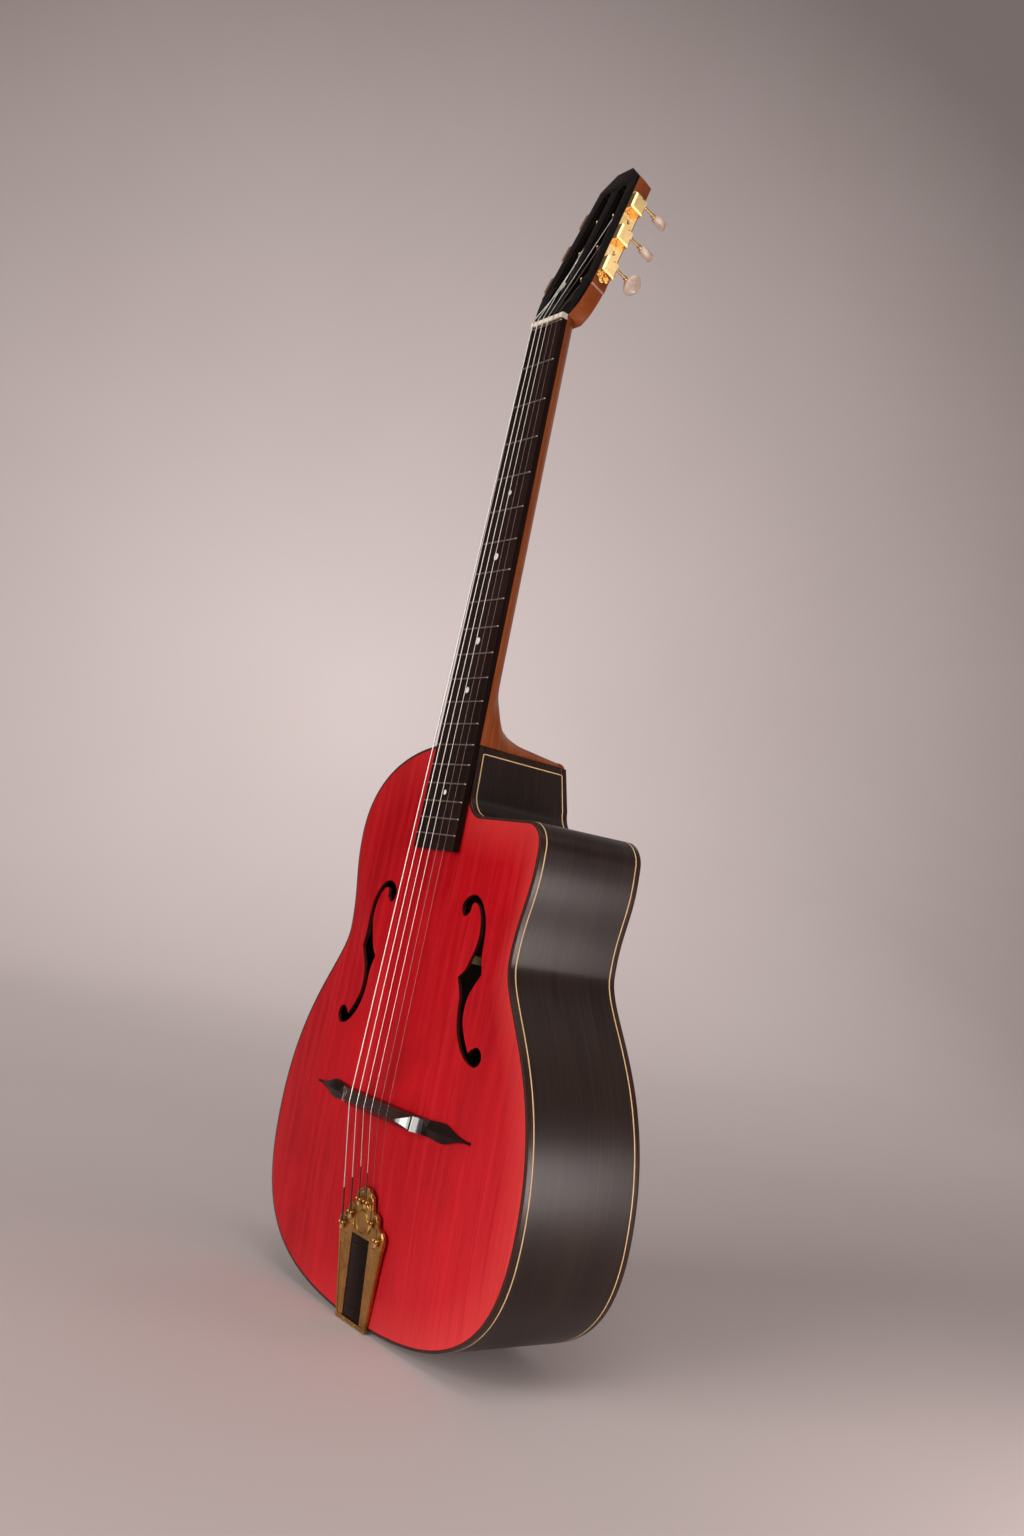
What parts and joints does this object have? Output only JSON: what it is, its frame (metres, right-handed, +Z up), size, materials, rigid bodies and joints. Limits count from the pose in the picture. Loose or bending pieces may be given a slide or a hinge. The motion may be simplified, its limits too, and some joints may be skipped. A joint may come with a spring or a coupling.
{
  "type": "archtop gypsy jazz guitar",
  "caption": "Red archtop jazz guitar with a cutaway, f-holes, floating bridge, hinged brass tailpiece and slotted headstock with worm-geared tuning machines.",
  "frame": {"origin": "on the outer face of the tail bracket, on the centreline, in the plane of the soundboard rim", "axes": "+X towards the treble side, +Y from the soundboard to the back, +Z up the neck to the headstock"},
  "size_m": [0.3726, 0.1387, 1.0046],
  "materials": {
    "red_top": "red-stained satin spruce",
    "dark_wood": "dark brown-black stained satin wood",
    "dark_binding": "dark brown binding",
    "cream": "cream purfling",
    "spruce": "raw spruce",
    "mahogany": "reddish-brown satin mahogany",
    "ebony": "near-black polished ebony",
    "bone": "polished bone",
    "old_brass": "dull antique brass",
    "gold_metal": "bright yellow brass plate",
    "ivory": "cream polished plastic",
    "steel": "plain steel"
  },
  "bodies": {
    "guitar": {"tuner_plate_treble": "gold_metal", "tuner_plate_bass": "gold_metal", "headstock_veneer": "ebony", "reinforcing_rod": "steel", "fretboard": "ebony", "nut": "bone", "tailpiece": "old_brass", "tailpiece_insert": "ebony", "tailpiece_pin": "steel", "soundboard": "red_top", "back_plate": "dark_wood", "front_binding": "dark_binding", "back_binding": "dark_binding", "front_purfling": "cream", "back_purfling": "cream", "side_bass": "dark_wood", "side_treble": "dark_wood", "side_cutaway": "dark_wood", "cutaway_purfling": "cream", "neck_block": "mahogany", "tail_block": "mahogany", "front_lining_treble": "spruce", "front_lining_bass": "spruce", "back_lining_treble": "spruce", "back_lining_bass": "spruce", "top_bracing": "spruce", "back_bracing": "spruce", "heel_cap": "ebony", "neck": "mahogany", "bridge": "ebony", "bridge_wing_treble": "ebony", "bridge_wing_bass": "ebony", "tail_bracket": "old_brass", "bracket_screw_1": "old_brass", "bracket_screw_2": "old_brass", "bracket_screw_3": "old_brass", "string_1": "steel", "string_2": "steel", "string_3": "steel", "string_6": "steel", "string_5": "steel", "string_4": "steel"},
    "worm_1": {"tuner_worm_1": "steel", "tuner_button_1": "ivory"},
    "roller_1": {"tuner_roller_1": "gold_metal"},
    "worm_2": {"tuner_worm_2": "steel", "tuner_button_2": "ivory"},
    "roller_2": {"tuner_roller_2": "gold_metal"},
    "worm_3": {"tuner_worm_3": "steel", "tuner_button_3": "ivory"},
    "roller_3": {"tuner_roller_3": "gold_metal"},
    "worm_4": {"tuner_worm_4": "steel", "tuner_button_4": "ivory"},
    "roller_4": {"tuner_roller_4": "gold_metal"},
    "worm_5": {"tuner_worm_5": "steel", "tuner_button_5": "ivory"},
    "roller_5": {"tuner_roller_5": "gold_metal"},
    "worm_6": {"tuner_worm_6": "steel", "tuner_button_6": "ivory"},
    "roller_6": {"tuner_roller_6": "gold_metal"}
  },
  "joints": [
    {"name": "tuner_1_spin", "type": "hinge", "parent": "guitar", "child": "worm_1", "pos_m": [0.03851, 0.03375, 0.89486], "axis": [0, 0.9568, -0.2907], "continuous": true},
    {"name": "roller_1_spin", "type": "hinge", "parent": "guitar", "child": "roller_1", "pos_m": [0.03895, 0.0319, 0.88877], "axis": [0.9977, 0.0199, 0.0654], "continuous": true},
    {"name": "tuner_2_spin", "type": "hinge", "parent": "guitar", "child": "worm_2", "pos_m": [0.03604, 0.04422, 0.92931], "axis": [0, 0.9568, -0.2907], "continuous": true},
    {"name": "roller_2_spin", "type": "hinge", "parent": "guitar", "child": "roller_2", "pos_m": [0.03648, 0.04237, 0.92322], "axis": [0.9977, 0.0199, 0.0654], "continuous": true},
    {"name": "tuner_3_spin", "type": "hinge", "parent": "guitar", "child": "worm_3", "pos_m": [0.03358, 0.05468, 0.96375], "axis": [0, 0.9568, -0.2907], "continuous": true},
    {"name": "roller_3_spin", "type": "hinge", "parent": "guitar", "child": "roller_3", "pos_m": [0.03401, 0.05283, 0.95766], "axis": [0.9977, 0.0199, 0.0654], "continuous": true},
    {"name": "tuner_4_spin", "type": "hinge", "parent": "guitar", "child": "worm_4", "pos_m": [-0.03358, 0.05468, 0.96375], "axis": [0, 0.9568, -0.2907], "continuous": true},
    {"name": "roller_4_spin", "type": "hinge", "parent": "guitar", "child": "roller_4", "pos_m": [-0.03401, 0.05283, 0.95766], "axis": [-0.9977, 0.0199, 0.0654], "continuous": true},
    {"name": "tuner_5_spin", "type": "hinge", "parent": "guitar", "child": "worm_5", "pos_m": [-0.03604, 0.04422, 0.92931], "axis": [0, 0.9568, -0.2907], "continuous": true},
    {"name": "roller_5_spin", "type": "hinge", "parent": "guitar", "child": "roller_5", "pos_m": [-0.03648, 0.04237, 0.92322], "axis": [-0.9977, 0.0199, 0.0654], "continuous": true},
    {"name": "tuner_6_spin", "type": "hinge", "parent": "guitar", "child": "worm_6", "pos_m": [-0.03851, 0.03375, 0.89486], "axis": [0, 0.9568, -0.2907], "continuous": true},
    {"name": "roller_6_spin", "type": "hinge", "parent": "guitar", "child": "roller_6", "pos_m": [-0.03895, 0.0319, 0.88877], "axis": [-0.9977, 0.0199, 0.0654], "continuous": true}
  ],
  "couplings": [
    {"joint": "roller_1_spin", "follows": "tuner_1_spin", "ratio": 0.071429},
    {"joint": "roller_2_spin", "follows": "tuner_2_spin", "ratio": 0.071429},
    {"joint": "roller_3_spin", "follows": "tuner_3_spin", "ratio": 0.071429},
    {"joint": "roller_4_spin", "follows": "tuner_4_spin", "ratio": 0.071429},
    {"joint": "roller_5_spin", "follows": "tuner_5_spin", "ratio": 0.071429},
    {"joint": "roller_6_spin", "follows": "tuner_6_spin", "ratio": 0.071429}
  ]
}
